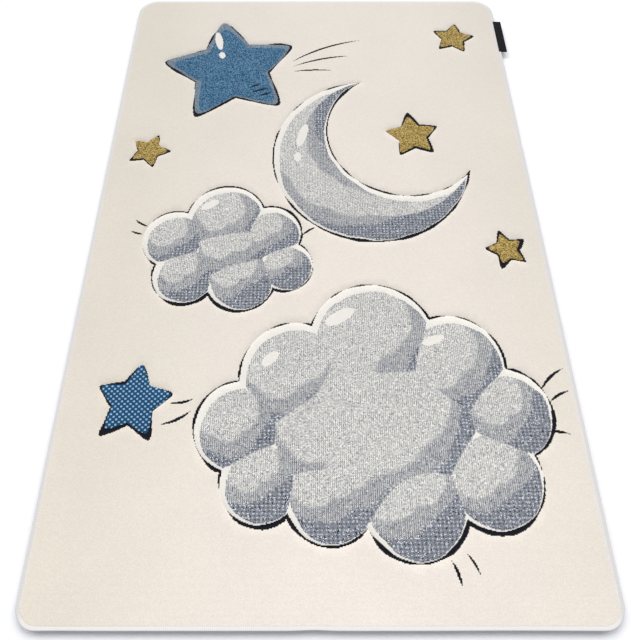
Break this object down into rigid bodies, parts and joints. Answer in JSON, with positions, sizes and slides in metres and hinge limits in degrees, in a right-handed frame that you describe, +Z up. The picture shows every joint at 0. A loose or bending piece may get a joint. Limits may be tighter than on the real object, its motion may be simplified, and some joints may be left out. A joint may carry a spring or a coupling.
{
  "type": "kids rug",
  "caption": "Flat rectangular cut-pile rug with rounded corners, a serged yarn edge, shallow carved cloud, moon and star outlines, and a folded side label.",
  "frame": {"origin": "centre of the underside, on the floor", "axes": "+Y along the length towards the end that the label is near, +X to the label's side, +Z up"},
  "size_m": [1.0153, 1.5, 0.0114],
  "materials": {
    "cream_cut_pile": "matt cut pile, cream ground with woven grey, blue, ochre and black motifs",
    "white_edge_yarn": "wound overlock yarn, off-white",
    "black_woven_ribbon": "woven ribbon, black, plain"
  },
  "bodies": {
    "root": {"pile_carpet": "cream_cut_pile", "serged_edge": "white_edge_yarn", "edge_label": "black_woven_ribbon"}
  },
  "joints": []
}
